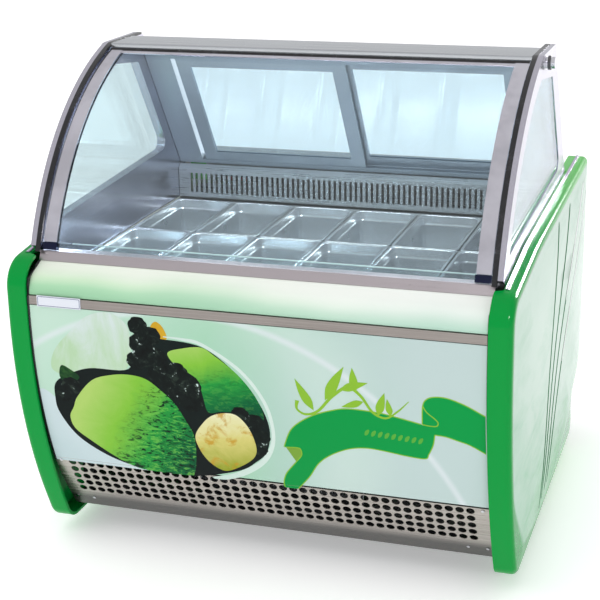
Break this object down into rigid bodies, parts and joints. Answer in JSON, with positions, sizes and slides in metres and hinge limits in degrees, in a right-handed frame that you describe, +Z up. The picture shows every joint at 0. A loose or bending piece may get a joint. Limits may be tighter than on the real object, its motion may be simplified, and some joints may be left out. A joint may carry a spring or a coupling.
{
  "type": "ice cream dipping cabinet",
  "caption": "Free-standing refrigerated scooping cabinet with a bent front glass that lifts, sliding rear doors, lift-out pans and moulded side panels on castors.",
  "frame": {"origin": "centre of the footprint at floor level", "axes": "+X to the customer's right across the cabinet, +Y from the customer side to the staff side, +Z up"},
  "size_m": [1.226, 1.188, 1.2049],
  "materials": {
    "frame_paint": "satin black",
    "foam_shell": "foam-filled coated sheet",
    "stainless": "brushed",
    "fin_aluminium": "bare fins",
    "clear_glass": "clear",
    "panel_white": "gloss white to mint",
    "panel_graphic": "printed gloss",
    "plate_silver": "satin",
    "moulding_green": "gloss green with pale face",
    "bright_trim": "polished",
    "frame_steel": "satin",
    "gasket_rubber": "glossy black",
    "lamp_housing": "anodised with a white diffuser",
    "door_aluminium": "blue-grey anodised",
    "panel_dark": "matte",
    "compressor_black": "semi-gloss black",
    "shroud_steel": "galvanised",
    "copper_pipe": "copper",
    "bar_silver": "polished",
    "clamp_chrome": "polished",
    "fan_plastic": "matte",
    "switch_red": "gloss",
    "castor_steel": "zinc",
    "wheel_rubber": "grey tread",
    "pan_steel": "satin stainless"
  },
  "bodies": {
    "cabinet": {"base_frame": "frame_paint", "insulated_tub": "foam_shell", "tub_liner": "stainless", "pan_support_frame": "stainless", "evaporator_coil": "fin_aluminium", "rear_air_grille": "stainless", "front_air_guard": "clear_glass", "glass_rail_strip": "stainless", "upper_front_panel": "panel_white", "front_mid_strip": "stainless", "front_graphic_panel": "panel_graphic", "front_grille": "stainless", "nameplate": "plate_silver", "side_panel_left": "moulding_green", "side_panel_right": "moulding_green", "side_trims": "bright_trim", "side_frames": "frame_steel", "side_glasses": "clear_glass", "frame_gaskets": "gasket_rubber", "top_canopy": "stainless", "work_lamp": "lamp_housing", "canopy_knobs": "bright_trim", "rear_door_tracks": "door_aluminium", "rear_service_panel": "stainless", "control_panel": "panel_dark", "compressor": "compressor_black", "condenser_coil": "fin_aluminium", "fan_shroud": "shroud_steel", "refrigerant_pipes": "copper_pipe", "power_inlet": "panel_dark", "screws": "bright_trim"},
    "glass_front": {"front_glass": "clear_glass", "glass_end_bars": "bar_silver", "corner_clamps": "clamp_chrome"},
    "left_door": {"door_left_frame": "door_aluminium", "door_left_glass": "clear_glass"},
    "right_door": {"door_right_frame": "door_aluminium", "door_right_glass": "clear_glass"},
    "pan_a1": {"pan_a1": "pan_steel"},
    "pan_a2": {"pan_a2": "pan_steel"},
    "pan_a3": {"pan_a3": "pan_steel"},
    "pan_a4": {"pan_a4": "pan_steel"},
    "pan_a5": {"pan_a5": "pan_steel"},
    "pan_a6": {"pan_a6": "pan_steel"},
    "pan_b1": {"pan_b1": "pan_steel"},
    "pan_b2": {"pan_b2": "pan_steel"},
    "pan_b3": {"pan_b3": "pan_steel"},
    "pan_b4": {"pan_b4": "pan_steel"},
    "pan_b5": {"pan_b5": "pan_steel"},
    "pan_b6": {"pan_b6": "pan_steel"},
    "condenser_fan": {"condenser_fan": "fan_plastic"},
    "evaporator_fan": {"evaporator_fan": "fan_plastic"},
    "power_switch": {"power_switch": "switch_red"},
    "light_switch": {"light_switch": "switch_red"},
    "castor_fork_left": {"castor_fork_left": "castor_steel"},
    "castor_fork_right": {"castor_fork_right": "castor_steel"},
    "castor_wheel_front_left": {"castor_wheel_front_left": "wheel_rubber"},
    "castor_wheel_front_right": {"castor_wheel_front_right": "wheel_rubber"},
    "castor_wheel_rear_left": {"castor_wheel_rear_left": "wheel_rubber"},
    "castor_wheel_rear_right": {"castor_wheel_rear_right": "wheel_rubber"}
  },
  "joints": [
    {"name": "pan_a1_lift", "type": "slide", "parent": "cabinet", "child": "pan_a1", "axis": [0, 0, 1], "range_m": [0, 0.2]},
    {"name": "pan_a2_lift", "type": "slide", "parent": "cabinet", "child": "pan_a2", "axis": [0, 0, 1], "range_m": [0, 0.2]},
    {"name": "pan_a3_lift", "type": "slide", "parent": "cabinet", "child": "pan_a3", "axis": [0, 0, 1], "range_m": [0, 0.2]},
    {"name": "pan_a4_lift", "type": "slide", "parent": "cabinet", "child": "pan_a4", "axis": [0, 0, 1], "range_m": [0, 0.2]},
    {"name": "pan_a5_lift", "type": "slide", "parent": "cabinet", "child": "pan_a5", "axis": [0, 0, 1], "range_m": [0, 0.2]},
    {"name": "pan_a6_lift", "type": "slide", "parent": "cabinet", "child": "pan_a6", "axis": [0, 0, 1], "range_m": [0, 0.2]},
    {"name": "pan_b1_lift", "type": "slide", "parent": "cabinet", "child": "pan_b1", "axis": [0, 0, 1], "range_m": [0, 0.155]},
    {"name": "pan_b2_lift", "type": "slide", "parent": "cabinet", "child": "pan_b2", "axis": [0, 0, 1], "range_m": [0, 0.155]},
    {"name": "pan_b3_lift", "type": "slide", "parent": "cabinet", "child": "pan_b3", "axis": [0, 0, 1], "range_m": [0, 0.155]},
    {"name": "pan_b4_lift", "type": "slide", "parent": "cabinet", "child": "pan_b4", "axis": [0, 0, 1], "range_m": [0, 0.155]},
    {"name": "pan_b5_lift", "type": "slide", "parent": "cabinet", "child": "pan_b5", "axis": [0, 0, 1], "range_m": [0, 0.155]},
    {"name": "pan_b6_lift", "type": "slide", "parent": "cabinet", "child": "pan_b6", "axis": [0, 0, 1], "range_m": [0, 0.155]},
    {"name": "front_glass_hinge", "type": "hinge", "parent": "cabinet", "child": "glass_front", "pos_m": [0, -0.072, 1.1885], "axis": [-1, 0, 0], "range_deg": [0, 45]},
    {"name": "left_door_slide", "type": "slide", "parent": "cabinet", "child": "left_door", "axis": [1, 0, 0], "range_m": [-0.011, 0.42]},
    {"name": "right_door_slide", "type": "slide", "parent": "cabinet", "child": "right_door", "axis": [-1, 0, 0], "range_m": [0, 0.43]},
    {"name": "condenser_fan_spin", "type": "hinge", "parent": "cabinet", "child": "condenser_fan", "pos_m": [0, -0.29, 0.25], "axis": [0, 1, 0], "continuous": true},
    {"name": "evaporator_fan_spin", "type": "hinge", "parent": "cabinet", "child": "evaporator_fan", "pos_m": [0, 0.42, 0.585], "axis": [0, 1, 0], "continuous": true},
    {"name": "power_switch_rock", "type": "hinge", "parent": "cabinet", "child": "power_switch", "pos_m": [-0.47, 0.577, 0.6975], "axis": [1, 0, 0], "range_deg": [0, 8]},
    {"name": "light_switch_rock", "type": "hinge", "parent": "cabinet", "child": "light_switch", "pos_m": [-0.425, 0.577, 0.6975], "axis": [1, 0, 0], "range_deg": [0, 8]},
    {"name": "front_left_swivel", "type": "hinge", "parent": "cabinet", "child": "castor_fork_left", "pos_m": [-0.47, -0.262, 0.09], "axis": [0, 0, 1], "continuous": true},
    {"name": "front_left_roll", "type": "hinge", "parent": "castor_fork_left", "child": "castor_wheel_front_left", "pos_m": [-0.47, -0.232, 0.0375], "axis": [1, 0, 0], "continuous": true},
    {"name": "rear_left_roll", "type": "hinge", "parent": "cabinet", "child": "castor_wheel_rear_left", "pos_m": [-0.47, 0.43, 0.0375], "axis": [1, 0, 0], "continuous": true},
    {"name": "front_right_swivel", "type": "hinge", "parent": "cabinet", "child": "castor_fork_right", "pos_m": [0.47, -0.262, 0.09], "axis": [0, 0, 1], "continuous": true},
    {"name": "front_right_roll", "type": "hinge", "parent": "castor_fork_right", "child": "castor_wheel_front_right", "pos_m": [0.47, -0.232, 0.0375], "axis": [1, 0, 0], "continuous": true},
    {"name": "rear_right_roll", "type": "hinge", "parent": "cabinet", "child": "castor_wheel_rear_right", "pos_m": [0.47, 0.43, 0.0375], "axis": [1, 0, 0], "continuous": true}
  ]
}
